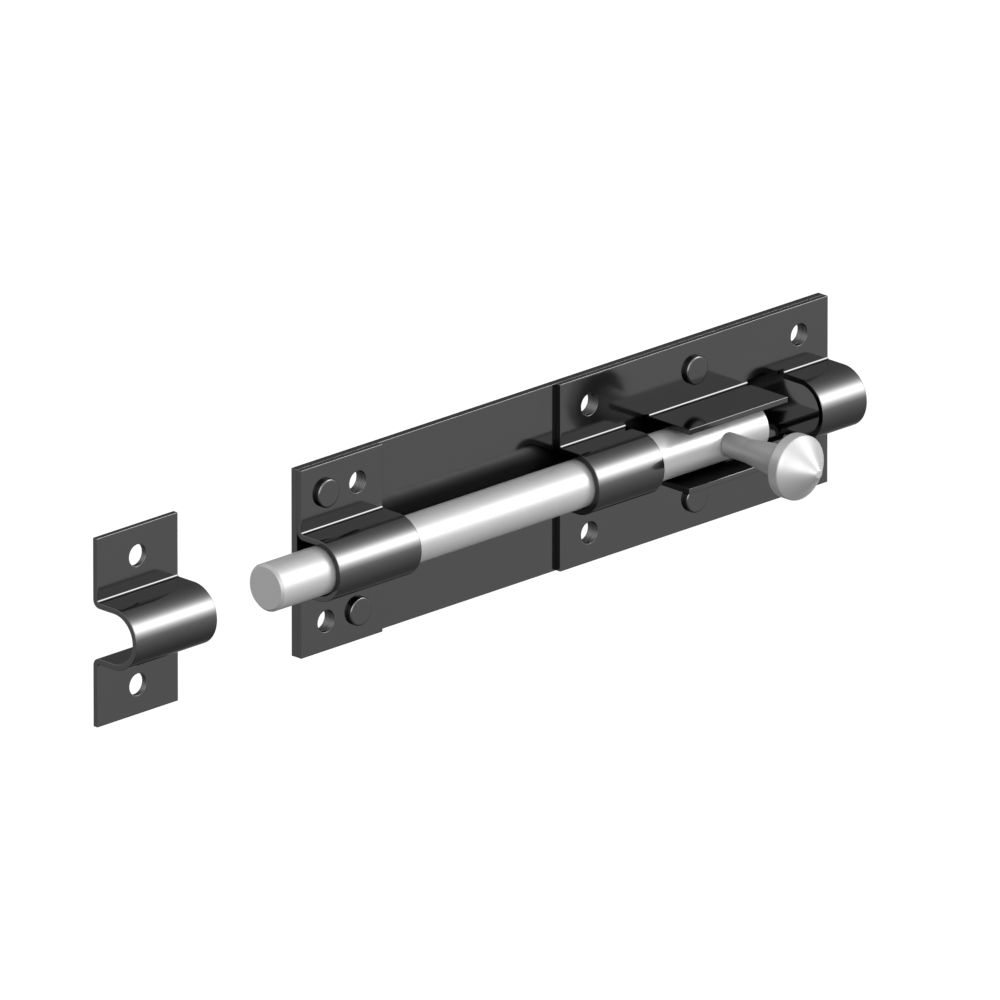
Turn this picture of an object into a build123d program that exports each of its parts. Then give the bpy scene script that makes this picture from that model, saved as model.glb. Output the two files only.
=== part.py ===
from build123d import *
from math import isclose
import os

# A six inch straight barrel bolt for a door, with its keep. All sizes are in millimetres.
# X runs along the bolt and -X is the way it is thrown, -Y is out of the door towards the
# hand, and +Z is up. The origin is the middle of the back plate's rear face, on the door.

# Back plate, a flat strip that lies on the door
plate_length = 150.0
plate_height = 40.0
plate_thickness = 1.6

# Sheet that the two guides and the keep are pressed from, and the broken edge of every strip
sheet_thickness = 1.2
fold_radius = 0.5
edge_break = 0.15

# Shoot, the round bar, its gaps to the barrels and the plate, and how far it is drawn back
rod_diameter = 10.0
rod_length = 138.4
rod_clearance = 0.3
rod_off_plate = 0.9
nose_chamfer = 0.9
tail_chamfer = 0.3
shoot_drawn = 16.65

# Knob, one turned piece: a round stem that flares into a head with a pointed front
stem_diameter = 5.0
stem_from_tail = 11.7
stem_seat_gap = 0.1
stem_plain_length = 5.65
flare_length = 11.7
flare_diameter = 7.6
head_diameter = 13.6
head_rim = 2.7
head_cone = 5.4
head_tip_diameter = 1.6
head_edge_break = 0.4

# Front guide, one barrel as long as the guide
front_guide_length = 23.0

# Double guide, from its front end to its rear end, which is flush with the plate. Each lug is
# opened a little outside the line of the barrels' walls
middle_barrel_length = 18.6
front_notch_play = 1.7
lug_length = 28.2
lug_beyond_barrel = 0.3
lug_opened = 0.45
rear_notch_play = 5.4
rear_barrel_length = 12.7

# Keep, which stands on the door frame, and its distance from the plate
keep_length = 22.6
keep_distance = 34.6

# Screw holes for number eight screws, in two rows above and below the shoot with the rivets
fixing_row_height = 13.7
screw_hole_diameter = 4.6
screw_from_end = 8.3

# Rivets that hold the guides to the back plate, each set into a countersink behind
rivet_shank_diameter = 3.4
rivet_hole_clearance = 0.05
rivet_head_diameter = 6.1
rivet_head_height = 1.0
rivet_head_break = 0.4
rivet_tail_diameter = 5.0
front_rivet_offset = 4.5

# Places that follow from the sizes above
rod_radius = rod_diameter / 2
barrel_inside = rod_radius + rod_clearance
barrel_outside = barrel_inside + sheet_thickness
rod_axis = plate_thickness + rod_off_plate + rod_radius
flange_front = plate_thickness + sheet_thickness
lug_inside = barrel_inside + lug_opened
lug_fold_line = lug_inside + sheet_thickness + fold_radius
rivet_hole_diameter = rivet_shank_diameter + 2 * rivet_hole_clearance
half_height = plate_height / 2
plate_front = -plate_length / 2
plate_rear = plate_length / 2

front_notch = stem_diameter + front_notch_play
rear_notch = stem_diameter + rear_notch_play
window_length = front_notch + lug_length + rear_notch
double_guide_length = middle_barrel_length + window_length + rear_barrel_length
double_guide_front = plate_rear - double_guide_length
window_front = double_guide_front + middle_barrel_length
front_guide_middle = plate_front + front_guide_length / 2
double_guide_middle = double_guide_front + double_guide_length / 2
keep_front = plate_front - keep_distance - keep_length
keep_middle = keep_front + keep_length / 2
stem_place = window_front + front_notch / 2 + shoot_drawn
rod_rear = stem_place + stem_from_tail

front_screws = [
    (front_guide_middle + front_rivet_offset, fixing_row_height),
    (front_guide_middle - front_rivet_offset, -fixing_row_height),
]
rear_screws = [
    (x, z)
    for x in (double_guide_front + screw_from_end, plate_rear - screw_from_end)
    for z in (fixing_row_height, -fixing_row_height)
]
keep_screws = [(keep_middle, z) for z in (fixing_row_height, -fixing_row_height)]
front_rivets = {
    "front_rivet_upper": (front_guide_middle - front_rivet_offset, fixing_row_height),
    "front_rivet_lower": (front_guide_middle + front_rivet_offset, -fixing_row_height),
}
rear_rivets = {
    "rear_rivet_upper": (double_guide_middle, fixing_row_height),
    "rear_rivet_lower": (double_guide_middle, -fixing_row_height),
}


def band(near, far, half_width):
    """Rectangle in the section, from one distance out of the door to another, about mid height."""
    return Pos((near + far) / 2, 0) * Rectangle(far - near, 2 * half_width)


def corners(outline, first, second):
    """The corners of a flat outline at that first coordinate and that second one, up or down."""
    return [v for v in outline.vertices() if isclose(v.X, first) and isclose(abs(v.Y), second)]


def folded(wall, hollow, inside):
    """Section of a folded sheet: two flanges on the back plate and the wall that stands between.

    The sheet turns out of each flange round the fold radius, and its other face keeps the
    thickness of the sheet round the bend. Inside is half the height between the walls.
    """
    section = band(plate_thickness, flange_front, half_height) + wall
    section = fillet(corners(section, flange_front, inside + sheet_thickness), fold_radius)
    section -= hollow
    return fillet(corners(section, plate_thickness, inside), fold_radius + sheet_thickness)


def barrel_section():
    """Straight walls as far out as the rod's axis, and a half round arch over them."""
    axis = Pos(rod_axis, 0)
    wall = band(plate_thickness, rod_axis, barrel_outside) + axis * Circle(barrel_outside)
    hollow = band(0, rod_axis, barrel_inside) + axis * Circle(barrel_inside)
    return folded(wall, hollow, barrel_inside)


def lug_section():
    """Two straight lugs, left standing where the arch between the barrels is slit and opened."""
    tip = rod_axis + barrel_outside + lug_beyond_barrel
    wall = band(plate_thickness, tip, lug_inside + sheet_thickness)
    return folded(wall, band(0, tip, lug_inside), lug_inside)


def run(section, front, length):
    """The section carried along the bolt from its front end."""
    place = Plane(origin=(front, 0, 0), x_dir=(0, -1, 0), z_dir=(-1, 0, 0))
    return extrude(place * section, -length)


def drill(places, diameter):
    """Straight bars at each (x, z) that run past both faces of all the sheet on the door."""
    depth = flange_front + 2 * sheet_thickness
    bar = Circle(diameter / 2)
    return [extrude(Plane.XZ * Pos(x, z, -sheet_thickness) * bar, depth) for x, z in places]


def tumbled(sheet):
    """The sheet with its sheared edges broken, as tumbling leaves them.

    A line along the bolt, no further out than the rod's axis and within the folds, is where a
    fold begins or ends and not an edge.
    """
    folds = [
        line
        for line in sheet.edges().filter_by(Axis.X)
        if -line.center().Y < rod_axis + edge_break
        and abs(line.center().Z) < lug_fold_line + edge_break
    ]
    return chamfer([edge for edge in sheet.edges() if edge not in folds], edge_break)


def turned(profile, x, z):
    """A profile of (radius, distance out of the door) turned about the axis at x and z."""
    place = Plane(origin=(x, 0, z), x_dir=(1, 0, 0), z_dir=(0, 0, -1))
    return revolve(place * profile, Axis((x, 0, z), (0, -1, 0)))


def back_plate():
    plate = Pos(0, -plate_thickness / 2, 0) * Box(plate_length, plate_thickness, plate_height)
    plate = chamfer(plate.edges(), edge_break)
    plate -= drill(front_screws + rear_screws, screw_hole_diameter)
    rivets = list(front_rivets.values()) + list(rear_rivets.values())
    plate -= drill(rivets, rivet_hole_diameter)
    sink = rivet_tail_diameter / 2
    for x, z in rivets:
        plate -= turned(make_face(Polyline((0, 0), (sink, 0), (0, sink), close=True)), x, z)
    return plate


def front_guide():
    guide = tumbled(run(barrel_section(), plate_front, front_guide_length))
    guide -= drill(front_screws, screw_hole_diameter)
    guide -= drill(front_rivets.values(), rivet_hole_diameter)
    return guide


def double_guide():
    """Two barrels and a pair of lugs in one pressing, with a notch at each end of the lugs.

    It is pressed from its own front end on, and then set in its place on the plate.
    """
    guide = run(barrel_section(), 0, double_guide_length)
    reach = 2 * (rod_axis + barrel_outside)
    guide -= run(band(0, reach, lug_fold_line), middle_barrel_length, window_length)
    guide += run(lug_section(), middle_barrel_length + front_notch, lug_length)
    guide = Pos(double_guide_front, 0, 0) * tumbled(guide)
    guide -= drill(rear_screws, screw_hole_diameter)
    guide -= drill(rear_rivets.values(), rivet_hole_diameter)
    return guide


def keep():
    return tumbled(run(barrel_section(), keep_front, keep_length)) - drill(keep_screws, screw_hole_diameter)


def rivet(x, z):
    """Round head on the guide, a shank through both sheets and a tail set flush behind."""
    head = rivet_head_diameter / 2
    shank = rivet_shank_diameter / 2
    tail = rivet_tail_diameter / 2
    top = flange_front + rivet_head_height
    outline = Polyline(
        (0, 0),
        (tail, 0),
        (shank, tail - shank),
        (shank, flange_front),
        (head, flange_front),
        (head, top),
        (0, top),
        close=True,
    )
    profile = make_face(outline)
    profile = chamfer(corners(profile, head, top), rivet_head_break)
    return turned(profile, x, z)


def shoot():
    """Round bar with a chamfered nose and a square cut tail."""
    middle = rod_rear - rod_length / 2
    bar = Pos(middle, -rod_axis, 0) * Rot(Y=90) * Cylinder(rod_radius, rod_length)
    bar = chamfer(bar.edges().sort_by(Axis.X)[0], nose_chamfer)
    return chamfer(bar.edges().sort_by(Axis.X)[-1], tail_chamfer)


def knob():
    """Turned stem and head. The stem's foot is hollowed to sit round the shoot."""
    flare_start = rod_axis + rod_radius + stem_plain_length
    head_back = flare_start + flare_length
    rim_front = head_back + head_rim
    tip = rim_front + head_cone
    head = head_diameter / 2
    outline = Polyline(
        (0, rod_axis),
        (stem_diameter / 2, rod_axis),
        (stem_diameter / 2, flare_start),
        (flare_diameter / 2, head_back),
        (head, head_back),
        (head, rim_front),
        (head_tip_diameter / 2, tip),
        (0, tip),
        close=True,
    )
    profile = make_face(outline)
    turned_off = corners(profile, head, head_back) + corners(profile, head, rim_front)
    turned_off += corners(profile, head_tip_diameter / 2, tip)
    profile = chamfer(turned_off, head_edge_break)
    seat = Pos(stem_place, -rod_axis, 0) * Rot(Y=90) * Cylinder(rod_radius + stem_seat_gap, head_diameter)
    return turned(profile, stem_place, 0) - seat


def main():
    pieces = {
        "back_plate": back_plate(),
        "front_guide": front_guide(),
        "double_guide": double_guide(),
        "shoot": shoot(),
        "knob": knob(),
        "keep": keep(),
    }
    for name, place in {**front_rivets, **rear_rivets}.items():
        pieces[name] = rivet(*place)

    os.makedirs("parts", exist_ok=True)
    for name, piece in pieces.items():
        export_step(piece, f"parts/{name}.step")


main()
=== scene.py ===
import math

import bpy
import numpy as np
from bpy.props import FloatProperty, FloatVectorProperty, PointerProperty
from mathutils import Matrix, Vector


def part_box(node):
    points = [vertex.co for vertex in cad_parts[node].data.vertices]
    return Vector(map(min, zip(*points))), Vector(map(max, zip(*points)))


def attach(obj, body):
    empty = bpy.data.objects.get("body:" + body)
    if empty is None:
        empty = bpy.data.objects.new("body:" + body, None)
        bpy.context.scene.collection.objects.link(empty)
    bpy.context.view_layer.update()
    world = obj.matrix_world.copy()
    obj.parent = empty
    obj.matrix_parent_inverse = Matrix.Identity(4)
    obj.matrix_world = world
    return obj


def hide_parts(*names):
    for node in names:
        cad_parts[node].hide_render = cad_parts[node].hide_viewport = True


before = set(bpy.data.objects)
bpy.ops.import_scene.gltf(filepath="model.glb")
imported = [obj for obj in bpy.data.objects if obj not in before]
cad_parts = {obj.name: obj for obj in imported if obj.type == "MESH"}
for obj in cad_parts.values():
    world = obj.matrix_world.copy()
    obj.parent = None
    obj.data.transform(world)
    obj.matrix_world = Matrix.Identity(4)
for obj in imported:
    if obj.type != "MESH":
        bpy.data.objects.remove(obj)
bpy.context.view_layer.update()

bl_info = {
    "name": "Barrel bolt with keep",
    "version": (1, 0, 0),
    "blender": (4, 5, 0),
    "location": "View3D > Sidebar > Barrel Bolt",
    "description": "Dresses the barrel bolt, its keep and the studio round them",
    "category": "Add Mesh",
}

MM = 0.001

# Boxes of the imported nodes, and the sizes and places that are worked out from them
PLATE_LOW, PLATE_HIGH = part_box("back_plate")
FRONT_LOW, FRONT_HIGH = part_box("front_guide")
DOUBLE_LOW, DOUBLE_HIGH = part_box("double_guide")
KEEP_LOW, KEEP_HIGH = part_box("keep")
SHOOT_LOW, SHOOT_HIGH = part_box("shoot")
KNOB_LOW, KNOB_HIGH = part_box("knob")
RIVETS = ("front_rivet_upper", "front_rivet_lower", "rear_rivet_upper", "rear_rivet_lower")
RIVET_BOXES = {name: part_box(name) for name in RIVETS}
RIVET_CENTRES = {name: (low + high) / 2 for name, (low, high) in RIVET_BOXES.items()}
FIRST_LOW, FIRST_HIGH = RIVET_BOXES[RIVETS[0]]

ROD_RADIUS = (SHOOT_HIGH.z - SHOOT_LOW.z) / 2
ROD_OUT = -(SHOOT_LOW.y + SHOOT_HIGH.y) / 2
PLATE_THICKNESS = -PLATE_LOW.y
BARREL_OUTSIDE = -FRONT_LOW.y - ROD_OUT
LUG_TIP = -DOUBLE_LOW.y
FIXING_ROW = RIVET_CENTRES["front_rivet_upper"].z
HALF_HEIGHT = PLATE_HIGH.z

# Grid round a hole: half the patch's side, cells along each side, and the line beside a sheared edge
PATCH = 3.2 * MM
PATCH_CELLS = 12
SUPPORT = 0.35 * MM

# Longest cells elsewhere: on the plate, along a guide, and across a guide on each of its stretches
PLATE_CELL = 3.0 * MM
GUIDE_CELL = 2.5 * MM
ARCH_CELL = 0.25 * MM
WALL_CELL = 0.9 * MM
FOLD_CELL = 0.16 * MM
FLANGE_CELL = 2.0 * MM

# Cells round the shoot and the knob, round a rivet, and on each rounded corner of a turned piece
TURNED_CELLS = 144
RIVET_CELLS = 72
CORNER_CELLS = 6

# Rings across the knob's foot, as shares of the stem's radius, and the ring above the foot's edge
FOOT_RINGS = (0.0, 0.5, 0.8, 0.95, 1.0)
FOOT_SUPPORT = 0.1 * MM

# How far into a sheared wall its rubbed edges reach, as a share of the sheet, and the least turn
# between two faces at a sheared edge
RUBBED = 0.2
SHEARED_TURN = math.radians(40)

# Machined grain: grains to the metre along X, Y and Z where it is rolled along the bolt, pressed,
# ground round the bar and turned round the knob
ROLLED = (90.0, 1500.0, 1500.0)
PRESSED = (700.0, 700.0, 700.0)
GROUND = (2600.0, 120.0, 120.0)
TURNED = (120.0, 2600.0, 120.0)

# Roughness as a share of its mean in the grain's clean and dull places, what a full smudge and a
# scratch add as such shares, what a rubbed edge adds to the roughness itself, and how deep a
# scratch is in depths of the grain
CLEAN, DULL = 0.86, 1.12
SMUDGE_ADDS = 0.1
SCRATCH_ADDS = 0.3
RUBBED_ADDS = 0.25
SCRATCH_DEPTH = 0.6

# Stretches over which the grain goes from clean to dull, a smudge comes in and rubbed steel shows
GRAIN_BAND = (0.3, 0.7)
SMUDGE_BAND = (0.45, 0.72)
RUBBED_BAND = (0.30, 0.75)

# Noise's middle value, how far from it a scratch is drawn, the part of coarser noise in the grain,
# what noise takes off the wear, and that noise's grains to the metre
NOISE_MIDDLE = 0.5
SCRATCH_WIDTH = 0.004
COARSE_PART = 0.33
WEAR_LOST = 0.9
WEAR_GRAINS = 320.0

# Places of like-named sockets on a Mix node: two numbers, or two colours and the colour put out
NUMBER_A, NUMBER_B = 2, 3
COLOUR_A, COLOUR_B, COLOUR_OUT = 6, 7, 2
WHITE = (1.0, 1.0, 1.0, 1.0)
NEARLY_BLACK = (0.02, 0.02, 0.02, 1.0)

# Ray depth that the room has in a first and in a second reflection, and the room's lights
ONCE, TWICE = 2.0, 3.0
LIGHTS = ("key", "fill", "back")

# Width of the camera's film in millimetres, where its view begins, in metres, and where it ends, in
# times the camera's distance
FILM = 36.0
VIEW_START = 0.5
VIEW_END = 4.0


def length(name, description, default):
    """A size of the object, in metres."""
    return FloatProperty(
        name=name, description=description, default=default, min=0.0, precision=5, unit="LENGTH"
    )


def colour(name, description, default):
    """A finish's colour, linear red, green and blue."""
    return FloatVectorProperty(
        name=name, description=description, default=default, size=3, min=0.0, max=1.0, subtype="COLOR"
    )


def share(name, description, default):
    """A plain number from nought to one."""
    return FloatProperty(
        name=name, description=description, default=default, min=0.0, max=1.0, subtype="FACTOR"
    )


def number(name, description, default):
    """A plain number that is not below nought."""
    return FloatProperty(name=name, description=description, default=default, min=0.0)


def angle(name, description, degrees):
    """An angle, given in degrees."""
    return FloatProperty(name=name, description=description, default=math.radians(degrees), subtype="ANGLE")


def coordinate(name, description, default):
    """A place along one axis, in metres, that may be below nought."""
    return FloatProperty(name=name, description=description, default=default, precision=5, unit="LENGTH")


class SheetSizes(bpy.types.PropertyGroup):
    thickness: length("Sheet", "Thickness of the guides' and keep's sheet", 1.2 * MM)
    fold_radius: length("Fold radius", "Radius in front of the fold between flange and barrel", 0.5 * MM)
    edge_round: length("Sheared edge", "Radius that tumbling leaves on a sheared edge", 0.1 * MM)
    screw_hole: length("Screw hole", "Diameter of the screw holes", 4.6 * MM)
    screw_from_end: length("Screw from end", "From the double guide's end to its screws", 8.3 * MM)


class DoubleGuideSizes(bpy.types.PropertyGroup):
    middle_barrel: length("Middle barrel", "Length of the barrel at the guide's front end", 18.6 * MM)
    front_notch: length("Front notch", "Gap from the middle barrel to the lugs", 6.7 * MM)
    lug: length("Lugs", "Length of the two lugs", 28.2 * MM)
    lug_opened: length("Lugs opened", "How far each lug stands outside the barrels' walls", 0.45 * MM)
    rear_barrel: length("Rear barrel", "Length of the barrel at the guide's rear end", 12.7 * MM)


class KnobSizes(bpy.types.PropertyGroup):
    stem: length("Stem", "Diameter of the stem", 5.0 * MM)
    seat_gap: length("Seat gap", "Gap between the stem's foot and the shoot", 0.1 * MM)
    plain: length("Plain stem", "From the shoot to where the stem flares", 5.65 * MM)
    flare: length("Flare", "Length of the flare", 11.7 * MM)
    flare_end: length("Flare end", "Diameter of the flare at the head", 7.6 * MM)
    flare_round: length("Flare's start", "Radius where the stem begins to flare", 3.0 * MM)
    neck_round: length("Neck", "Radius in the corner between the flare and the head", 0.3 * MM)
    rim: length("Rim", "Length of the head's straight rim", 2.7 * MM)
    tip: length("Tip", "Diameter of the flat tip", 1.6 * MM)
    edge_round: length("Turned edge", "Radius on the head's turned edges", 0.4 * MM)


class ShootSizes(bpy.types.PropertyGroup):
    nose: length("Nose chamfer", "Chamfer at the nose", 0.55 * MM)
    tail: length("Tail chamfer", "Chamfer at the tail", 0.3 * MM)
    edge_round: length("Edge", "Radius on the shoot's edges", 0.12 * MM)


class RivetSizes(bpy.types.PropertyGroup):
    shank: length("Shank", "Diameter of the shank", 3.4 * MM)
    clearance: length("Clearance", "Gap between the shank and its hole", 0.05 * MM)
    tail: length("Tail", "Diameter of the countersunk tail", 5.0 * MM)
    tail_round: length("Tail edge", "Radius on the tail's edge", 0.12 * MM)
    shank_round: length("Shank's corners", "Radius in the shank's corners and under the head", 0.1 * MM)
    head_height: length("Head", "Height of the head over the flange", 1.0 * MM)
    edge_round: length("Head edge", "Radius on the head's edge", 0.4 * MM)


class Finishes(bpy.types.PropertyGroup):
    sheet: colour("Dark sheet", "Blackened steel of the plate, guides and keep", (0.12, 0.12, 0.12))
    sheet_edge: colour("Dark sheet at grazing", "Tint of the dark sheet seen edge on", (0.58, 0.58, 0.58))
    worn: colour("Worn edge", "Steel that shows where a sheared edge is rubbed", (0.17, 0.17, 0.17))
    rivet: colour("Dark rivet", "Blackened steel of the rivets", (0.12, 0.12, 0.12))
    bright: colour("Bright steel", "Satin steel of the shoot and knob", (0.40, 0.40, 0.40))
    tarnish: colour("Tarnish", "Duller patches on the satin steel", (0.36, 0.36, 0.36))
    bright_edge: colour("Bright steel at grazing", "Tint of the bright steel seen edge on", (0.9, 0.9, 0.9))
    sheet_roughness: share("Sheet roughness", "Mean roughness of the dark sheet", 0.10)
    bright_metallic: share("Bright metallic", "Mirrored part of the satin steel's shine", 0.5)
    bright_roughness: share("Bright roughness", "Mean roughness of the satin steel", 0.38)
    sheet_grain: length("Sheet grain", "Depth of the dark sheet's grain", 0.0012 * MM)
    bright_grain: length("Bright grain", "Depth of the satin steel's grain", 0.0010 * MM)
    sheet_smudge: share("Sheet smudges", "How far a smudge turns the dark sheet to its worn colour", 0.03)
    bright_smudge: share("Bright smudges", "How far a smudge turns the satin steel to its tarnish", 0.2)


class StageSettings(bpy.types.PropertyGroup):
    aim_x: coordinate("Aim along", "What the camera looks at, along the bolt", -18.7365 * MM)
    aim_y: coordinate("Aim out", "What the camera looks at, out of the door", -2.8 * MM)
    aim_z: coordinate("Aim up", "What the camera looks at, up", -0.3022 * MM)
    azimuth: angle("Azimuth", "Camera's turn about the bolt, nought being in front", -44.9229)
    elevation: angle("Elevation", "Camera's height", 19.6267)
    frame_width: length("Frame", "Width of the picture at the bolt", 201.1258 * MM)
    lens: FloatProperty(name="Lens", description="Focal length", default=1650.0, subtype="DISTANCE_CAMERA")
    floor_drop: length("Floor drop", "From the bolt's axis down to the floor", 1.0)
    floor_reach: length("Floor reach", "From the bolt to the floor's edges", 24.0)
    floor_level: number("Floor level", "Brightness of the floor in reflections at the middle distance", 0.6)
    floor_middle: length("Middle distance", "Where the floor has its level, from below the bolt", 2.8)
    floor_rise: number("Floor rise", "How fast the floor brightens with the logarithm of distance", 0.3)
    floor_behind: share("Floor behind", "Floor's brightness away from the key light, as a share", 0.75)
    floor_least: number("Floor least", "Brightness of the floor's darkest place in reflections", 0.12)
    key_azimuth: angle("Key azimuth", "Turn of the key light's middle about the bolt", 47.5)
    key_elevation: angle("Key elevation", "Height of the key light's middle", 24.5)
    key_spread: angle("Key spread", "Angle from the key light's middle to half its brightness", 14.4)
    key_brightness: number("Key brightness", "Brightness of the key light's middle", 9.5)
    fill_azimuth: angle("Fill azimuth", "Turn of the fill light's middle about the bolt", -30.0)
    fill_elevation: angle("Fill elevation", "Height of the fill light's middle", 14.0)
    fill_spread: angle("Fill spread", "Angle from the fill light's middle to half its brightness", 28.0)
    fill_brightness: number("Fill brightness", "Brightness of the fill light's middle", 4.2)
    back_azimuth: angle("Back azimuth", "Turn of the back light's middle about the bolt", -140.0)
    back_elevation: angle("Back elevation", "Height of the back light's middle", 28.0)
    back_spread: angle("Back spread", "Angle from the back light's middle to half its brightness", 30.0)
    back_brightness: number("Back brightness", "Brightness of the back light's middle", 1.0)
    falloff: number("Falloff", "How fast each light falls beyond its spread", 3.0)
    lights_twice: share("Lights seen twice", "Share of the lights that shows in a second reflection", 0.3)
    room_brightness: number("Room brightness", "Brightness of the room round the lights", 0.2)


SETTINGS = {
    "bolt_sheet": SheetSizes,
    "bolt_double_guide": DoubleGuideSizes,
    "bolt_knob": KnobSizes,
    "bolt_shoot": ShootSizes,
    "bolt_rivet": RivetSizes,
    "bolt_finish": Finishes,
    "bolt_stage": StageSettings,
}


def supported(start, end):
    """Marks at the sheared ends of a stretch, and at the line beside each of them."""
    return [start, start + SUPPORT, end - SUPPORT, end]


def grid_lines(marks, step, patches=()):
    """Grid lines through all the marks, with equal cells no longer than the step between two marks.

    A patch is a stretch of PATCH each side of its centre, and has PATCH_CELLS equal cells.
    """
    ends = sorted({*marks, *(centre + side * PATCH for centre in patches for side in (-1, 1))})
    stretches = []
    for start, end in zip(ends, ends[1:]):
        in_patch = any(abs((start + end) / 2 - centre) < PATCH for centre in patches)
        cells = PATCH_CELLS if in_patch else math.ceil((end - start) / step)
        stretches.append(np.linspace(start, end, cells + 1)[:-1])
    return np.concatenate([*stretches, ends[-1:]])


def flat_pattern(x_lines, s_lines, kept, holes, side):
    """Points (x, s) and quads of a flat sheet with round holes.

    The sheet is the grid of the lines, less the cells that are not kept. Round each hole the
    patch of cells gives way to two rings of quads: the hole's circle, the circle one support
    further out, and the patch's own square, point for point at the same angle. A hole is
    (x, s, radius in front, radius behind), and the side says which radius counts.
    """
    columns, rows = len(x_lines), len(s_lines)
    index = np.arange(columns * rows).reshape(columns, rows)
    grid = np.stack(np.meshgrid(x_lines, s_lines, indexing="ij"), -1).reshape(-1, 2)
    kept = kept.copy()
    points, quads = [grid], []
    count = len(grid)
    for x, s, *radii in holes:
        left, right = (np.abs(x_lines - value).argmin() for value in (x - PATCH, x + PATCH))
        low, high = (np.abs(s_lines - value).argmin() for value in (s - PATCH, s + PATCH))
        kept[left:right, low:high] = False
        square = np.concatenate(
            [
                index[left:right, low],
                index[right, low:high],
                index[right:left:-1, high],
                index[left, high:low:-1],
            ]
        )
        centre = np.array((x, s))
        spokes = grid[square] - centre
        spokes /= np.linalg.norm(spokes, axis=1, keepdims=True)
        circle = count + np.arange(len(square))
        wider = circle + len(square)
        points += [centre + radii[side] * spokes, centre + (radii[side] + SUPPORT) * spokes]
        count += 2 * len(square)
        for inner, outer in ((circle, wider), (wider, square)):
            quads.append(np.stack([inner, outer, np.roll(outer, -1), np.roll(inner, -1)], 1))
    i, j = np.nonzero(kept)
    quads.append(np.stack([index[i, j], index[i + 1, j], index[i + 1, j + 1], index[i, j + 1]], 1))
    return np.concatenate(points), np.concatenate(quads)


def thick_sheet(front, back, quads):
    """A closed solid from a sheet's front and back points, and a wear value for each point.

    The front has the quads as they are and the back has them turned over. An edge that only one
    quad has is sheared, and a wall joins its front to its back in three rows of quads, of which
    the outer two are the rubbed share. Wear is one on those edges and nought elsewhere, and
    unused points are dropped.
    """
    count = len(front)
    layers = [front + depth * (back - front) for depth in (0.0, RUBBED, 1.0 - RUBBED, 1.0)]
    edges = np.concatenate([quads[:, [k, (k + 1) % 4]] for k in range(4)])
    sheared = edges[~np.isin(edges[:, 0] * count + edges[:, 1], edges[:, 1] * count + edges[:, 0])]
    wall = np.stack([sheared[:, 1], sheared[:, 0], sheared[:, 0] + count, sheared[:, 1] + count], 1)
    last = 3 * count
    faces = np.concatenate([quads, quads[:, ::-1] + last, wall, wall + count, wall + 2 * count])
    wear = np.zeros(4 * count)
    wear[[*sheared.ravel(), *(sheared.ravel() + last)]] = 1.0
    used, faces = np.unique(faces, return_inverse=True)
    return np.concatenate(layers)[used], faces.reshape(-1, 4), wear[used]


class Fold:
    """Section of a folded sheet, as distances s along its middle from mid height to the flange's end.

    From mid height the middle line runs a quarter circle over the shoot, straight back along the
    wall, a quarter circle the other way round the fold, and straight along the flange. A lug's
    wall and fold stand further out than a barrel's by as much as it is opened.
    """

    def __init__(self, sheet, opened=0.0):
        self.opened = opened
        self.half = sheet.thickness / 2
        self.arch_radius = BARREL_OUTSIDE - self.half
        self.bend_radius = sheet.fold_radius + self.half
        self.bend_out = PLATE_THICKNESS + sheet.thickness + sheet.fold_radius
        self.bend_height = BARREL_OUTSIDE + sheet.fold_radius
        self.arch_end = self.arch_radius * math.pi / 2
        self.wall_end = self.arch_end + ROD_OUT - self.bend_out
        self.bend_end = self.wall_end + self.bend_radius * math.pi / 2
        self.lug_end = self.bend_end + opened
        self.flange_end = self.bend_end + HALF_HEIGHT - self.bend_height

    def at_height(self, height):
        """The distance s of a point on the flange at that height, up or down."""
        return math.copysign(self.bend_end + abs(height) - self.bend_height, height)

    def lines(self, marks=()):
        """Grid lines across the sheet, close on the arch and the fold and wide on the flat.

        The marks are lines that the arch has too, at those distances to both sides.
        """
        row = self.at_height(FIXING_ROW)
        flange = supported(self.lug_end, self.flange_end)
        upper = np.concatenate(
            [
                grid_lines([0.0, *marks, self.arch_end], ARCH_CELL),
                grid_lines([self.arch_end, self.wall_end], WALL_CELL)[1:],
                grid_lines([self.wall_end, self.bend_end, self.lug_end], FOLD_CELL)[1:],
                grid_lines(flange, FLANGE_CELL, [row])[1:],
            ]
        )
        return np.concatenate([-upper[:0:-1], upper])

    def placed(self, points, offset, lug):
        """Where the points (x, s) of the pattern come to, that far in front of the middle line.

        On the arch the turn is s over the radius, on the fold it is the rest of s over the fold's
        radius. On a lug the wall runs on straight in place of the arch, s counts from as far out
        as it is opened, and the height grows by as much.
        """
        opened = np.where(lug, self.opened, 0.0)
        x, s = points[:, 0], np.abs(points[:, 1]) - opened
        up = np.where(points[:, 1] < 0, -1.0, 1.0)
        turn = s / self.arch_radius
        bend = (s - self.wall_end) / self.bend_radius
        arch_reach, bend_reach = self.arch_radius + offset, self.bend_radius - offset
        straight = (s >= self.arch_end) | lug
        stretches = [s >= self.bend_end, s >= self.wall_end, straight]
        out = np.select(
            stretches,
            [
                self.bend_out - self.bend_radius + offset,
                self.bend_out - bend_reach * np.sin(bend),
                ROD_OUT + self.arch_end - s,
            ],
            ROD_OUT + arch_reach * np.cos(turn),
        )
        height = np.select(
            stretches,
            [
                self.bend_height + s - self.bend_end,
                self.bend_height - bend_reach * np.cos(bend),
                self.arch_radius + offset,
            ],
            arch_reach * np.sin(turn),
        )
        return np.stack([x, -out, up * (height + opened)], 1)


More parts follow.
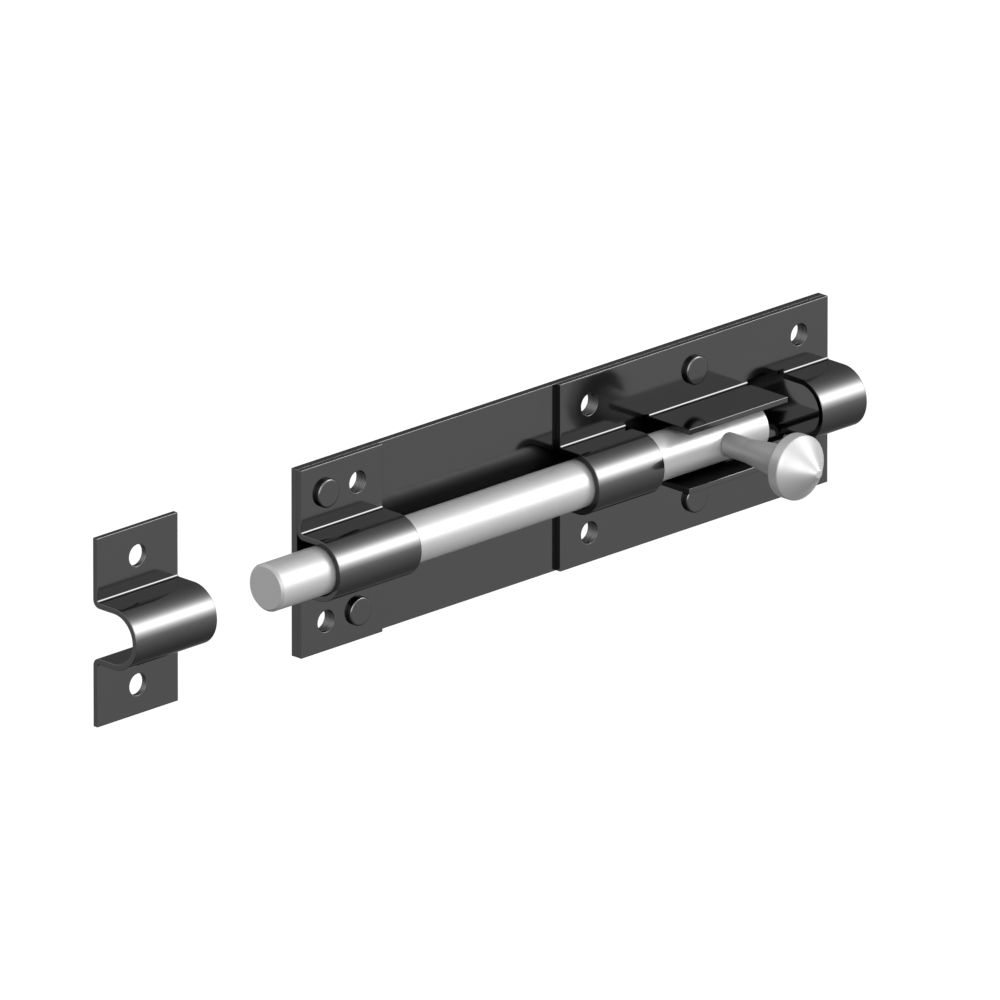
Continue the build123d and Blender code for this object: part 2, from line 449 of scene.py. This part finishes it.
def turned_corners(corners):
    """Profile (along, radius) through corners (along, radius, rounding), each rounded by an arc.

    The arc touches both runs at the rounding times the tangent of half the turn from the corner,
    and a point half a rounding further along each run holds the run straight.
    """
    points = np.array([corner[:2] for corner in corners], float)
    profile = [points[:1]]
    roundings = [corner[2] for corner in corners[1:]]
    for before, corner, after, rounding in zip(points, points[1:], points[2:], roundings):
        into, out_of = corner - before, after - corner
        into, out_of = into / np.linalg.norm(into), out_of / np.linalg.norm(out_of)
        cross = into[0] * out_of[1] - into[1] * out_of[0]
        turn = math.atan2(cross, into @ out_of)
        reach = rounding * math.tan(abs(turn) / 2)
        inward = math.copysign(1.0, turn) * np.array((-into[1], into[0]))
        centre = corner - reach * into + rounding * inward
        angles = np.linspace(0.0, abs(turn), CORNER_CELLS + 1)[:, None]
        arc = centre + rounding * (np.sin(angles) * into - np.cos(angles) * inward)
        profile += [arc[:1] - rounding / 2 * into, arc, arc[-1:] + rounding / 2 * out_of]
    return np.concatenate([*profile, points[-1:]])


def turned_grid(along, radius, cells=TURNED_CELLS):
    """Points (along, across, up) and faces of a solid of revolution that starts and ends on its axis.

    Across is the radius times the cosine and up is the radius times the sine of the turn. Along
    may also change with the turn. The first and last points are poles, closed with triangles.
    """
    turn = np.linspace(0.0, 2 * math.pi, cells, endpoint=False)
    along = np.broadcast_to(along if along.ndim == 2 else along[:, None], (len(radius), cells))
    rings = np.stack([along, radius[:, None] * np.cos(turn), radius[:, None] * np.sin(turn)], -1)
    poles = np.array([(along[0, 0], 0, 0), (along[-1, 0], 0, 0)])
    body = rings[1:-1]
    index = np.arange(body.shape[0] * cells).reshape(-1, cells)
    onward = np.roll(index, -1, axis=1)
    quads = np.stack([index[:-1], index[1:], onward[1:], onward[:-1]], -1).reshape(-1, 4)
    first, last = index.size, index.size + 1
    caps = [
        np.stack([np.full(cells, first), index[0], onward[0]], 1),
        np.stack([np.full(cells, last), onward[-1], index[-1]], 1),
    ]
    return np.concatenate([body.reshape(-1, 3), poles]), quads, np.concatenate(caps)


def make_piece(name, points, faces, material, body, wear=None):
    """A mesh object in the frame's own place that rides on its body and stands for its node."""
    mesh = bpy.data.meshes.new(name)
    mesh.from_pydata(points.tolist(), [], [face.tolist() for block in faces for face in block])
    if wear is not None:
        mesh.attributes.new("wear", "FLOAT", "POINT").data.foreach_set("value", wear.astype(np.float32))
    mesh.shade_smooth()
    mesh.materials.append(material)
    piece = bpy.data.objects.new(name, mesh)
    bpy.context.scene.collection.objects.link(piece)
    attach(piece, body)
    return piece


def ease_edges(piece, radius):
    """Rounds the sheared edges, and leaves the flat faces flat in the shading."""
    bevel = piece.modifiers.new("sheared edges", "BEVEL")
    bevel.width, bevel.segments = radius, 3
    bevel.limit_method, bevel.angle_limit = "ANGLE", SHEARED_TURN
    bevel.use_clamp_overlap = False
    keep_flat_faces(piece)


def keep_flat_faces(piece):
    """Weights the shading by the faces' areas, so that a small round does not bend a wide face."""
    weighted = piece.modifiers.new("flat faces", "WEIGHTED_NORMAL")
    weighted.mode = "FACE_AREA"


def feed(tree, node, values):
    """Sets a node's inputs, by name or number, each to a value or joined to a socket."""
    for key, value in values.items():
        if isinstance(value, bpy.types.NodeSocket):
            tree.links.new(value, node.inputs[key])
        else:
            node.inputs[key].default_value = value


def add(tree, kind, values=None, **settings):
    """A new shader node of that kind, with settings, and values or sockets for its inputs."""
    node = tree.nodes.new("ShaderNode" + kind)
    for key, value in settings.items():
        setattr(node, key, value)
    feed(tree, node, values or {})
    return node


def maths(tree, operation, *values):
    """What a maths node makes of those values or sockets."""
    return add(tree, "Math", dict(enumerate(values)), operation=operation).outputs[0]


def vector_maths(tree, operation, *values, out="Vector"):
    """What a vector maths node makes of those values or sockets, a vector or else a number."""
    return add(tree, "VectorMath", dict(enumerate(values)), operation=operation).outputs[out]


def ramp(tree, value, band, low=0.0, high=1.0, curve="LINEAR"):
    """A number that goes from low to high while the value goes through the band."""
    values = {"Value": value, "From Min": band[0], "From Max": band[1], "To Min": low, "To Max": high}
    return add(tree, "MapRange", values, interpolation_type=curve).outputs["Result"]


def noise(tree, place, scale, detail, roughness, distortion=0.0):
    """Noise at that place, mostly near its middle value."""
    values = {"Vector": place, "Scale": scale, "Detail": detail, "Roughness": roughness}
    return add(tree, "TexNoise", {**values, "Distortion": distortion}).outputs["Fac"]


def mix_colours(tree, amount, first, second):
    """The first colour, turned by that amount to the second."""
    values = {0: amount, COLOUR_A: first, COLOUR_B: second}
    return add(tree, "Mix", values, data_type="RGBA").outputs[COLOUR_OUT]


def white_to_camera(tree, strength):
    """That strength in reflections and, where the camera looks, the one that shows as white."""
    seen = add(tree, "LightPath").outputs["Is Camera Ray"]
    return add(tree, "Mix", {0: seen, NUMBER_A: strength, NUMBER_B: 1.0}, data_type="FLOAT").outputs[0]


def node_group(name, inputs, outputs):
    """An empty shader group, the sockets that it is given and the node that it ends in.

    An input is (name, kind, default), and an output is (name, kind).
    """
    group = bpy.data.node_groups.new(name, "ShaderNodeTree")
    for label, kind, default in inputs:
        socket = group.interface.new_socket(label, in_out="INPUT", socket_type=kind)
        if default is not None:
            socket.default_value = default
    for label, kind in outputs:
        group.interface.new_socket(label, in_out="OUTPUT", socket_type=kind)
    return group, group.nodes.new("NodeGroupInput").outputs, group.nodes.new("NodeGroupOutput")


def grain_group():
    """Fine lines that rolling, drawing or turning leaves.

    The place is stretched by the scale, so that noise becomes lines across the largest scale.
    Height is fine noise with a third of coarser noise, and Dullness is the coarser noise alone.
    """
    group, given, end = node_group(
        "machined grain",
        [
            ("Place", "NodeSocketVector", None),
            ("Scale", "NodeSocketVector", (100.0, 100.0, 100.0)),
            ("Coarseness", "NodeSocketFloat", 0.2),
        ],
        [("Height", "NodeSocketFloat"), ("Dullness", "NodeSocketFloat")],
    )
    stretched = vector_maths(group, "MULTIPLY", given["Place"], given["Scale"])
    wider = add(group, "VectorMath", {0: stretched, "Scale": given["Coarseness"]}, operation="SCALE")
    fine = noise(group, stretched, 1.0, detail=3.0, roughness=0.6)
    coarse = noise(group, wider.outputs[0], 1.0, detail=2.0, roughness=0.5)
    height = maths(group, "MULTIPLY_ADD", coarse, COARSE_PART, fine)
    feed(group, end, {"Height": height, "Dullness": coarse})
    return group


def handling_group():
    """Soft patches and thin scratches that handling leaves on a polished face.

    Smudge is broad noise cut to its upper part. Scratch is one where a warped band of noise
    crosses its middle value, which draws thin wandering lines, and only where there is a smudge.
    """
    group, given, end = node_group(
        "handling marks",
        [
            ("Place", "NodeSocketVector", None),
            ("Smudge scale", "NodeSocketFloat", 60.0),
            ("Scratch scale", "NodeSocketFloat", 35.0),
        ],
        [("Smudge", "NodeSocketFloat"), ("Scratch", "NodeSocketFloat")],
    )
    place = given["Place"]
    broad = noise(group, place, given["Smudge scale"], detail=4.0, roughness=0.55, distortion=0.4)
    smudge = ramp(group, broad, SMUDGE_BAND, curve="SMOOTHSTEP")
    warped = noise(group, place, given["Scratch scale"], detail=1.0, roughness=0.4, distortion=1.6)
    off_middle = maths(group, "ABSOLUTE", maths(group, "SUBTRACT", warped, NOISE_MIDDLE))
    line = ramp(group, off_middle, (0.0, SCRATCH_WIDTH), 1.0, 0.0)
    feed(group, end, {"Smudge": smudge, "Scratch": maths(group, "MULTIPLY", line, smudge)})
    return group


def worn_edge_group():
    """Steel that shows through along rubbed edges.

    The wear value, one at a sheared edge and nought a third of a millimetre in, is broken up by
    noise and cut to a patchy band. Colour is the finish outside the band and bare steel in it.
    """
    group, given, end = node_group(
        "worn edge",
        [
            ("Wear", "NodeSocketFloat", 0.0),
            ("Place", "NodeSocketVector", None),
            ("Finish", "NodeSocketColor", None),
            ("Bare", "NodeSocketColor", None),
        ],
        [("Colour", "NodeSocketColor"), ("Rubbed", "NodeSocketFloat")],
    )
    specks = noise(group, given["Place"], WEAR_GRAINS, detail=4.0, roughness=0.6)
    broken = maths(group, "MULTIPLY_ADD", specks, -WEAR_LOST, given["Wear"])
    rubbed = ramp(group, broken, RUBBED_BAND, curve="SMOOTHSTEP")
    tint = mix_colours(group, rubbed, given["Finish"], given["Bare"])
    feed(group, end, {"Colour": tint, "Rubbed": rubbed})
    return group


def use(tree, name, make, values):
    """What a shared shader group puts out. The group is made the first time that it is used."""
    group = bpy.data.node_groups.get(name) or make()
    return add(tree, "Group", values, node_tree=group).outputs


def metal(
    name, finish, second, edge_tint, roughness, grain, grain_depth, smudge_tone, wear=0.0, metallic=1.0
):
    """A polished metal with machined grain, handling marks and worn edges.

    The finish turns towards the second colour in smudges and, where there is wear, at the edges.
    The roughness is the mean, less a little in clean places and more in smudges and scratches.
    """
    material = bpy.data.materials.get(name) or bpy.data.materials.new(name)
    material.use_nodes = True
    tree = material.node_tree
    tree.nodes.clear()
    finish, second, edge_tint = ((*tint, 1.0) for tint in (finish, second, edge_tint))
    where = add(tree, "TexCoord").outputs["Object"]
    lines = use(tree, "machined grain", grain_group, {"Place": where, "Scale": grain})
    marks = use(tree, "handling marks", handling_group, {"Place": where})
    smudged = mix_colours(tree, maths(tree, "MULTIPLY", marks["Smudge"], smudge_tone), finish, second)
    worn = add(tree, "Attribute", attribute_name="wear").outputs["Fac"]
    near_edge = maths(tree, "MULTIPLY", worn, wear)
    at_edge = {"Place": where, "Wear": near_edge, "Finish": smudged, "Bare": second}
    edges = use(tree, "worn edge", worn_edge_group, at_edge)
    rough = ramp(tree, lines["Dullness"], GRAIN_BAND, roughness * CLEAN, roughness * DULL)
    rough = maths(tree, "MULTIPLY_ADD", marks["Smudge"], roughness * SMUDGE_ADDS, rough)
    rough = maths(tree, "MULTIPLY_ADD", marks["Scratch"], roughness * SCRATCH_ADDS, rough)
    rough = maths(tree, "MULTIPLY_ADD", edges["Rubbed"], RUBBED_ADDS, rough)
    height = maths(tree, "MULTIPLY_ADD", marks["Scratch"], -SCRATCH_DEPTH, lines["Height"])
    bump = add(tree, "Bump", {"Strength": 1.0, "Distance": grain_depth, "Height": height})
    shader = add(
        tree,
        "BsdfPrincipled",
        {
            "Base Color": edges["Colour"],
            "Metallic": metallic,
            "Roughness": rough,
            "Specular Tint": edge_tint,
            "Normal": bump.outputs["Normal"],
        },
    )
    add(tree, "OutputMaterial", {"Surface": shader.outputs["BSDF"]})
    return material


def dark_metal(name, finish, grain):
    """Blackened, polished steel with that grain, rubbed at its sheared edges."""
    look = bpy.context.scene.bolt_finish
    return metal(
        name, finish, look.worn, look.sheet_edge, look.sheet_roughness,
        grain, look.sheet_grain, look.sheet_smudge, wear=1.0,
    )


def dark_sheet_metal():
    """Blackened sheet with faint rolling lines along the bolt."""
    return dark_metal("blackened_sheet", bpy.context.scene.bolt_finish.sheet, ROLLED)


def dark_rivet_metal():
    """The same blackened steel on a pressed rivet head."""
    return dark_metal("blackened_rivet", bpy.context.scene.bolt_finish.rivet, PRESSED)


def bright_metal(name, grain):
    """Satin steel with that grain."""
    look = bpy.context.scene.bolt_finish
    return metal(
        name, look.bright, look.tarnish, look.bright_edge, look.bright_roughness,
        grain, look.bright_grain, look.bright_smudge, metallic=look.bright_metallic,
    )


def bright_shoot_metal():
    """Satin bar with fine lines round it from grinding."""
    return bright_metal("polished_bar", GROUND)


def bright_knob_metal():
    """Satin knob with fine lines round it from the lathe."""
    return bright_metal("polished_knob", TURNED)


def screw_hole(x, s):
    """A straight hole for a screw."""
    radius = bpy.context.scene.bolt_sheet.screw_hole / 2
    return (x, s, radius, radius)


def rivet_hole(x, s, countersunk=False):
    """A hole for a rivet's shank, wider behind where the tail is set into it."""
    rivet = bpy.context.scene.bolt_rivet
    radius = rivet.shank / 2 + rivet.clearance
    return (x, s, radius, rivet.tail / 2 + rivet.clearance if countersunk else radius)


def all_holes(screws, rivets, countersunk=False):
    """The holes of a sheet for its screws and its rivets, each (x, s)."""
    return [screw_hole(*at) for at in screws] + [rivet_hole(*at, countersunk) for at in rivets]


def lines_along(marks, cell, fixings):
    """Grid lines along the bolt through the marks, with a patch at each screw and rivet."""
    return grid_lines(marks, cell, sorted({x for x, _ in fixings}))


def as_it_is(height):
    """The height itself, on the flat plate."""
    return height


def front_fixings(on_sheet=as_it_is):
    """The front guide's screws, each across from a rivet, and its rivets, as lists of (x, s)."""
    upper, lower = (RIVET_CENTRES[name] for name in RIVETS[:2])
    screws = [(lower.x, on_sheet(upper.z)), (upper.x, on_sheet(lower.z))]
    return screws, [(upper.x, on_sheet(upper.z)), (lower.x, on_sheet(lower.z))]


def rear_fixings(on_sheet=as_it_is):
    """The double guide's four screws and two rivets, as lists of (x, s)."""
    inset = bpy.context.scene.bolt_sheet.screw_from_end
    rows = (on_sheet(FIXING_ROW), on_sheet(-FIXING_ROW))
    screws = [(x, s) for x in (DOUBLE_LOW.x + inset, DOUBLE_HIGH.x - inset) for s in rows]
    return screws, [(RIVET_CENTRES["rear_rivet_upper"].x, s) for s in rows]


def pressed_piece(name, fold, x_lines, s_lines, kept, holes, lug=None):
    """A guide or keep: the flat pattern with its holes, folded to its section, with its thickness."""
    sheet = bpy.context.scene.bolt_sheet
    sides = []
    for side, offset in enumerate((fold.half, -fold.half)):
        points, quads = flat_pattern(x_lines, s_lines, kept, holes, side)
        on_lug = np.zeros(len(points), bool)
        if lug:
            on_lug = (points[:, 0] > lug[0] - SUPPORT / 2) & (points[:, 0] < lug[1] + SUPPORT / 2)
        sides.append(fold.placed(points, offset, on_lug))
    points, faces, wear = thick_sheet(*sides, quads)
    piece = make_piece(name, points, [faces], dark_sheet_metal(), "plate", wear)
    ease_edges(piece, sheet.edge_round)
    return piece


def single_barrel(name, low, high, screws, rivets):
    """A pressed strap with one barrel as long as itself."""
    fold = Fold(bpy.context.scene.bolt_sheet)
    x_lines = lines_along(supported(low.x, high.x), GUIDE_CELL, screws + rivets)
    s_lines = fold.lines()
    kept = np.ones((len(x_lines) - 1, len(s_lines) - 1), bool)
    return pressed_piece(name, fold, x_lines, s_lines, kept, all_holes(screws, rivets))


class BOLT_OT_back_plate(bpy.types.Operator):
    """Makes the flat strip that lies on the door, with its screw and rivet holes."""

    bl_idname = "barrel_bolt.back_plate"
    bl_label = "Back plate"

    def execute(self, context):
        sheet = context.scene.bolt_sheet
        fixings = [front_fixings(), rear_fixings()]
        screws = [at for found, _ in fixings for at in found]
        rivets = [at for _, found in fixings for at in found]
        x_lines = lines_along(supported(PLATE_LOW.x, PLATE_HIGH.x), PLATE_CELL, screws + rivets)
        rows = [-FIXING_ROW, FIXING_ROW]
        z_lines = grid_lines(supported(PLATE_LOW.z, PLATE_HIGH.z), PLATE_CELL, rows)
        kept = np.ones((len(x_lines) - 1, len(z_lines) - 1), bool)
        holes = all_holes(screws, rivets, countersunk=True)
        sides = []
        for side, y in enumerate((PLATE_LOW.y, PLATE_HIGH.y)):
            points, quads = flat_pattern(x_lines, z_lines, kept, holes, side)
            sides.append(np.stack([points[:, 0], np.full(len(points), y), points[:, 1]], 1))
        points, faces, wear = thick_sheet(*sides, quads)
        piece = make_piece("plate_skin", points, [faces], dark_sheet_metal(), "plate", wear)
        ease_edges(piece, sheet.edge_round)
        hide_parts("back_plate")
        return {"FINISHED"}


class BOLT_OT_straps(bpy.types.Operator):
    """Makes the front guide and the keep, each a pressed strap with one barrel."""

    bl_idname = "barrel_bolt.straps"
    bl_label = "Front guide and keep"

    def execute(self, context):
        fold = Fold(context.scene.bolt_sheet)
        guide = single_barrel("front_guide_skin", FRONT_LOW, FRONT_HIGH, *front_fixings(fold.at_height))
        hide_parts("front_guide")
        middle = (KEEP_LOW.x + KEEP_HIGH.x) / 2
        screws = [(middle, fold.at_height(height)) for height in (FIXING_ROW, -FIXING_ROW)]
        keep = single_barrel("keep_skin", KEEP_LOW, KEEP_HIGH, screws, [])
        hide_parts("keep")
        return {"FINISHED"}


class BOLT_OT_double_guide(bpy.types.Operator):
    """Makes the pressing with two barrels, and two lugs with a notch at each of their ends."""

    bl_idname = "barrel_bolt.double_guide"
    bl_label = "Double guide"

    def execute(self, context):
        sizes = context.scene.bolt_double_guide
        fold = Fold(context.scene.bolt_sheet, sizes.lug_opened)
        barrel_end = DOUBLE_LOW.x + sizes.middle_barrel
        lug = (barrel_end + sizes.front_notch, barrel_end + sizes.front_notch + sizes.lug)
        barrel_start = DOUBLE_HIGH.x - sizes.rear_barrel
        stretches = ((DOUBLE_LOW.x, barrel_end), lug, (barrel_start, DOUBLE_HIGH.x))
        marks = [mark for stretch in stretches for mark in supported(*stretch)]
        screws, rivets = rear_fixings(fold.at_height)
        x_lines = lines_along(marks, GUIDE_CELL, screws + rivets)
        tip = fold.arch_end + sizes.lug_opened - (LUG_TIP - ROD_OUT)
        s_lines = fold.lines([tip, tip + SUPPORT])
        x = ((x_lines[:-1] + x_lines[1:]) / 2)[:, None]
        s = np.abs((s_lines[:-1] + s_lines[1:]) / 2)[None, :]
        barrels = (x < barrel_end) | (x > barrel_start)
        lugs = (x > lug[0]) & (x < lug[1]) & (s > tip)
        kept = barrels | lugs | (s > fold.lug_end)
        holes = all_holes(screws, rivets)
        piece = pressed_piece("double_guide_skin", fold, x_lines, s_lines, kept, holes, lug)
        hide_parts("double_guide")
        return {"FINISHED"}


class BOLT_OT_rivets(bpy.types.Operator):
    """Makes the four rivets, each with a low flat head and a tail set flush behind."""

    bl_idname = "barrel_bolt.rivets"
    bl_label = "Rivets"

    def execute(self, context):
        sizes = context.scene.bolt_rivet
        head = (FIRST_HIGH.x - FIRST_LOW.x) / 2
        top, tail, shank = -FIRST_LOW.y, sizes.tail / 2, sizes.shank / 2
        under = top - sizes.head_height
        profile = turned_corners(
            [
                (0.0, 0.0, 0.0),
                (0.0, tail, sizes.tail_round),
                (tail - shank, shank, sizes.shank_round),
                (under, shank, sizes.shank_round),
                (under, head, sizes.shank_round),
                (top, head, sizes.edge_round),
                (top, 0.0, 0.0),
            ]
        )
        points, quads, caps = turned_grid(profile[:, 0], profile[:, 1], RIVET_CELLS)
        for name, centre in RIVET_CENTRES.items():
            placed = np.stack([centre.x + points[:, 1], -points[:, 0], centre.z + points[:, 2]], 1)
            skin = name + "_skin"
            piece = make_piece(skin, placed, [quads, caps], dark_rivet_metal(), "plate")
            keep_flat_faces(piece)
            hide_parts(name)
        return {"FINISHED"}


class BOLT_OT_shoot(bpy.types.Operator):
    """Makes the straight round bar with its chamfered nose."""

    bl_idname = "barrel_bolt.shoot"
    bl_label = "Shoot"

    def execute(self, context):
        sizes = context.scene.bolt_shoot
        nose, tail = SHOOT_LOW.x, SHOOT_HIGH.x
        profile = turned_corners(
            [
                (nose, 0.0, 0.0),
                (nose, ROD_RADIUS - sizes.nose, sizes.edge_round),
                (nose + sizes.nose, ROD_RADIUS, sizes.edge_round),
                (tail - sizes.tail, ROD_RADIUS, sizes.edge_round),
                (tail, ROD_RADIUS - sizes.tail, sizes.edge_round),
                (tail, 0.0, 0.0),
            ]
        )
        points, quads, caps = turned_grid(profile[:, 0], profile[:, 1])
        placed = np.stack([points[:, 0], points[:, 1] - ROD_OUT, points[:, 2]], 1)
        steel = bright_shoot_metal()
        piece = make_piece("shoot_skin", placed, [quads, caps], steel, "shoot")
        keep_flat_faces(piece)
        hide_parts("shoot")
        return {"FINISHED"}


class BOLT_OT_knob(bpy.types.Operator):
    """Makes the turned knob, whose foot is hollowed to the shoot's round."""

    bl_idname = "barrel_bolt.knob"
    bl_label = "Knob"

    def execute(self, context):
        sizes = context.scene.bolt_knob
        stem, head = sizes.stem / 2, (KNOB_HIGH.x - KNOB_LOW.x) / 2
        flare_start = ROD_OUT + ROD_RADIUS + sizes.plain
        head_back = flare_start + sizes.flare
        tip = -KNOB_LOW.y
        rings = turned_corners(
            [
                (flare_start - sizes.plain / 2, stem, 0.0),
                (flare_start, stem, sizes.flare_round),
                (head_back, sizes.flare_end / 2, sizes.neck_round),
                (head_back, head, sizes.edge_round),
                (head_back + sizes.rim, head, sizes.edge_round),
                (tip, sizes.tip / 2, sizes.edge_round),
                (tip, 0.0, 0.0),
            ]
        )
        turn = np.linspace(0.0, 2 * math.pi, TURNED_CELLS, endpoint=False)
        foot_radius = np.array(FOOT_RINGS) * stem
        seat = ROD_RADIUS + sizes.seat_gap
        foot = ROD_OUT + np.sqrt(seat**2 - (foot_radius[:, None] * np.sin(turn)) ** 2)
        along = [foot, foot[-1:] + FOOT_SUPPORT, np.repeat(rings[:, :1], TURNED_CELLS, 1)]
        radius = np.concatenate([foot_radius, [stem], rings[:, 1]])
        points, quads, caps = turned_grid(np.concatenate(along), radius)
        middle = (KNOB_LOW.x + KNOB_HIGH.x) / 2
        placed = np.stack([middle + points[:, 1], -points[:, 0], points[:, 2]], 1)
        steel = bright_knob_metal()
        piece = make_piece("knob_skin", placed, [quads, caps], steel, "knob")
        keep_flat_faces(piece)
        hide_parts("knob")
        return {"FINISHED"}


def direction(azimuth, elevation):
    """From the bolt towards that azimuth, nought being in front, and that elevation."""
    level = math.cos(elevation)
    return Vector((math.sin(azimuth) * level, -math.cos(azimuth) * level, math.sin(elevation)))


class BOLT_OT_stage(bpy.types.Operator):
    """Makes the pale floor, the room with its soft light, and the camera."""

    bl_idname = "barrel_bolt.stage"
    bl_label = "Stage"

    def execute(self, context):
        scene, stage = context.scene, context.scene.bolt_stage
        self.make_floor(scene, stage)
        self.make_room(scene, stage)
        self.make_camera(scene, stage)
        scene.view_settings.view_transform = "Standard"
        return {"FINISHED"}

    def make_floor(self, scene, stage):
        """A wide pale sheet, far enough below that no shadow shows.

        In reflections its brightness is the level plus the rise times the logarithm of the
        distance from below the bolt, counted in middle distances. It falls to a share of that on
        the side away from the key light.
        """
        mesh = bpy.data.meshes.new("floor")
        reach = stage.floor_reach
        ways = ((-1, -1), (1, -1), (1, 1), (-1, 1))
        corners = [(x * reach, y * reach, -stage.floor_drop) for x, y in ways]
        mesh.from_pydata(corners, [], [(0, 1, 2, 3)])
        material = bpy.data.materials.new("pale_floor")
        material.use_nodes = True
        tree = material.node_tree
        level = vector_maths(tree, "MULTIPLY", add(tree, "TexCoord").outputs["Object"], (1.0, 1.0, 0.0))
        times = maths(tree, "DIVIDE", vector_maths(tree, "LENGTH", level, out="Value"), stage.floor_middle)
        growth = maths(tree, "LOGARITHM", times, math.e)
        bright = maths(tree, "MULTIPLY_ADD", growth, stage.floor_rise, stage.floor_level)
        heading = vector_maths(tree, "NORMALIZE", level)
        key = direction(stage.key_azimuth, 0.0)
        towards = vector_maths(tree, "DOT_PRODUCT", heading, key, out="Value")
        side = ramp(tree, towards, (-1.0, 1.0), stage.floor_behind, 1.0)
        shown = maths(tree, "MAXIMUM", maths(tree, "MULTIPLY", bright, side), stage.floor_least)
        feed(
            tree,
            tree.nodes["Principled BSDF"],
            {
                "Base Color": NEARLY_BLACK,
                "Roughness": 1.0,
                "Emission Color": WHITE,
                "Emission Strength": white_to_camera(tree, shown),
            },
        )
        mesh.materials.append(material)
        floor = bpy.data.objects.new("floor", mesh)
        scene.collection.objects.link(floor)

    def add_light(self, tree, way, stage, name):
        """The socket that gives a light's brightness in that way, for a light without an edge.

        It is the middle's brightness over one plus a power of the angle from the middle over the
        spread.
        """
        sizes = ("azimuth", "elevation", "spread", "brightness")
        azimuth, elevation, spread, brightness = (getattr(stage, f"{name}_{size}") for size in sizes)
        middle = direction(azimuth, elevation)
        away = maths(tree, "ARCCOSINE", vector_maths(tree, "DOT_PRODUCT", way, middle, out="Value"))
        fall = maths(tree, "POWER", maths(tree, "DIVIDE", away, spread), stage.falloff)
        return maths(tree, "DIVIDE", brightness, maths(tree, "ADD", fall, 1.0))

    def make_room(self, scene, stage):
        """Soft lights and the grey room round them in reflections, and white for the camera.

        A key light stands in front at the right, a fill light in front at the left and a weak one
        behind at the left. In a second reflection only a share of them shows.
        """
        world = bpy.data.worlds.new("pale_room")
        scene.world = world
        world.use_nodes = True
        tree = world.node_tree
        tree.nodes.clear()
        way = add(tree, "TexCoord").outputs["Generated"]
        key, fill, back = (self.add_light(tree, way, stage, name) for name in LIGHTS)
        lights = maths(tree, "ADD", maths(tree, "ADD", key, fill), back)
        depth = add(tree, "LightPath").outputs["Ray Depth"]
        again = ramp(tree, depth, (ONCE, TWICE), 1.0, stage.lights_twice)
        shown = maths(tree, "MULTIPLY_ADD", lights, again, stage.room_brightness)
        background = add(tree, "Background", {"Color": WHITE, "Strength": white_to_camera(tree, shown)})
        add(tree, "OutputWorld", {"Surface": background.outputs[0]})

    def make_camera(self, scene, stage):
        """A very long lens from the front left and above, so that the picture is nearly parallel."""
        data = bpy.data.cameras.new("camera")
        data.lens, data.sensor_width = stage.lens, FILM
        camera = bpy.data.objects.new("camera", data)
        back = direction(stage.azimuth, stage.elevation)
        distance = stage.frame_width * stage.lens / FILM
        camera.location = Vector((stage.aim_x, stage.aim_y, stage.aim_z)) + distance * back
        camera.rotation_euler = (-back).to_track_quat("-Z", "Y").to_euler()
        data.clip_start, data.clip_end = VIEW_START, VIEW_END * distance
        scene.collection.objects.link(camera)
        scene.camera = camera


OPERATORS = (
    BOLT_OT_stage,
    BOLT_OT_back_plate,
    BOLT_OT_straps,
    BOLT_OT_double_guide,
    BOLT_OT_rivets,
    BOLT_OT_shoot,
    BOLT_OT_knob,
)


class BOLT_PT_panel(bpy.types.Panel):
    """Lists the pieces' buttons and the sizes and finishes that they use."""

    bl_label = "Barrel Bolt"
    bl_idname = "BOLT_PT_panel"
    bl_space_type = "VIEW_3D"
    bl_region_type = "UI"
    bl_category = "Barrel Bolt"

    def draw(self, context):
        for operator in OPERATORS:
            self.layout.operator(operator.bl_idname)
        for name, group in SETTINGS.items():
            box = self.layout.box()
            for key in group.__annotations__:
                box.prop(getattr(context.scene, name), key)


CLASSES = (*SETTINGS.values(), *OPERATORS, BOLT_PT_panel)


def register():
    for cls in CLASSES:
        bpy.utils.register_class(cls)
    for name, group in SETTINGS.items():
        setattr(bpy.types.Scene, name, PointerProperty(type=group))


def unregister():
    for name in SETTINGS:
        delattr(bpy.types.Scene, name)
    for cls in reversed(CLASSES):
        bpy.utils.unregister_class(cls)


def main():
    register()
    for operator in OPERATORS:
        group, name = operator.bl_idname.split(".")
        getattr(getattr(bpy.ops, group), name)()


if __name__ == "__main__":
    main()
